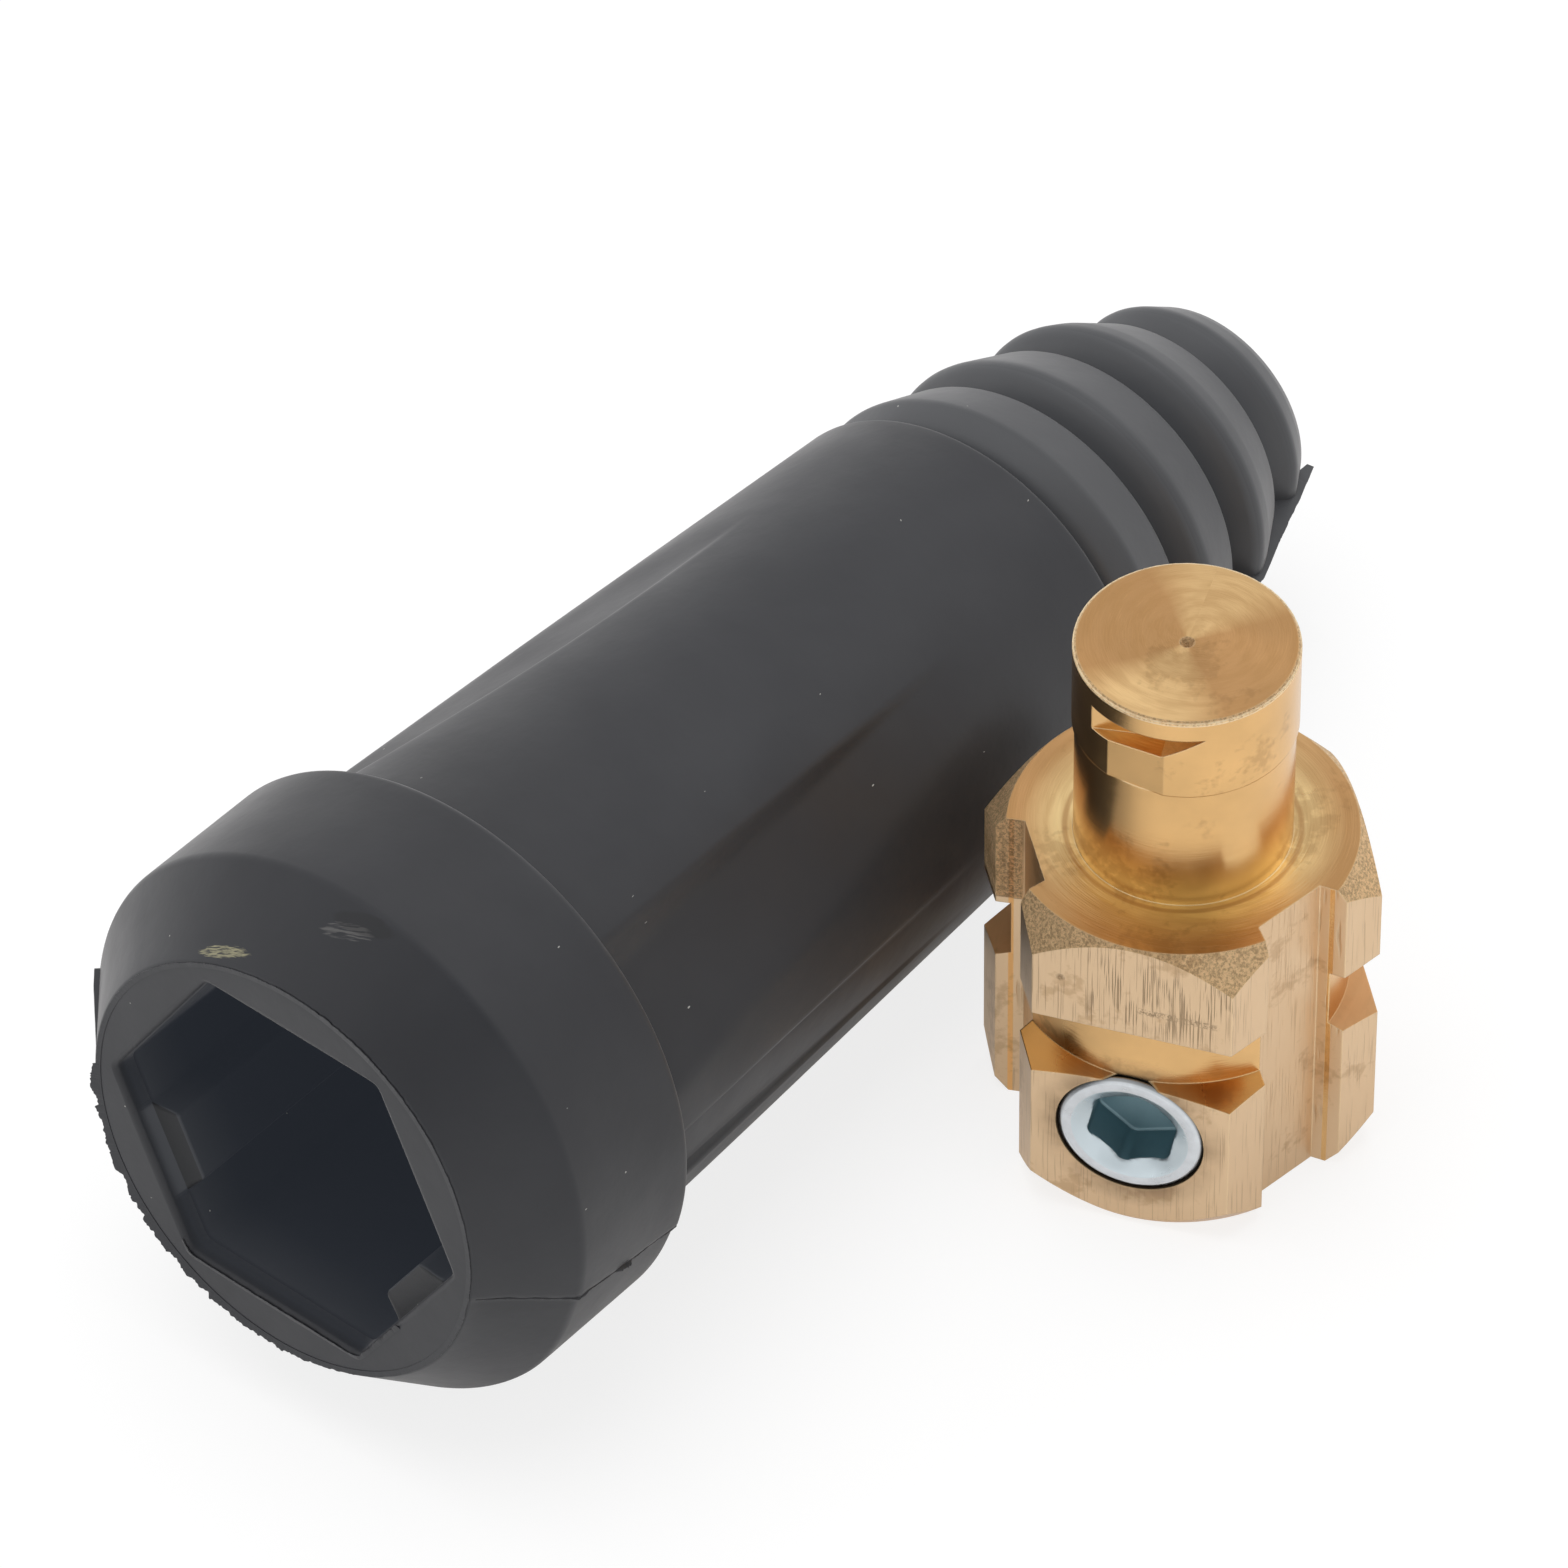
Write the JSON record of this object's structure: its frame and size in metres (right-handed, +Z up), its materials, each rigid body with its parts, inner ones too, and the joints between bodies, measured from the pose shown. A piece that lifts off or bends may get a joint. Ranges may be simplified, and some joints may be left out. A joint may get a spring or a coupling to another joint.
{
  "type": "welding cable plug",
  "caption": "Cable plug for a welding lead: brass contact insert with a twist-lock pin and clamp screw, beside its ringed rubber sleeve.",
  "frame": {"origin": "on the floor under the middle of the box round both pieces", "axes": "+X along the sleeve from its mouth to its tail, seen from above; +Z up; the insert stands at -Y"},
  "size_m": [0.0894, 0.0554, 0.0377],
  "materials": {
    "sleeve_rubber": "matt moulded rubber, charcoal black, with mould flash and a little dust",
    "insert_brass": "turned and milled brass, drawn flats, fine tool marks",
    "screw_steel": "zinc-plated steel"
  },
  "bodies": {
    "plug": {"rubber_sleeve": "sleeve_rubber", "contact_insert": "insert_brass"},
    "screw": {"clamp_screw": "screw_steel"}
  },
  "joints": [
    {"name": "clamp_screw_travel", "type": "slide", "parent": "plug", "child": "screw", "axis": [0.9379, 0.3469, 0], "range_m": [-0.0028, 0.0028]}
  ]
}
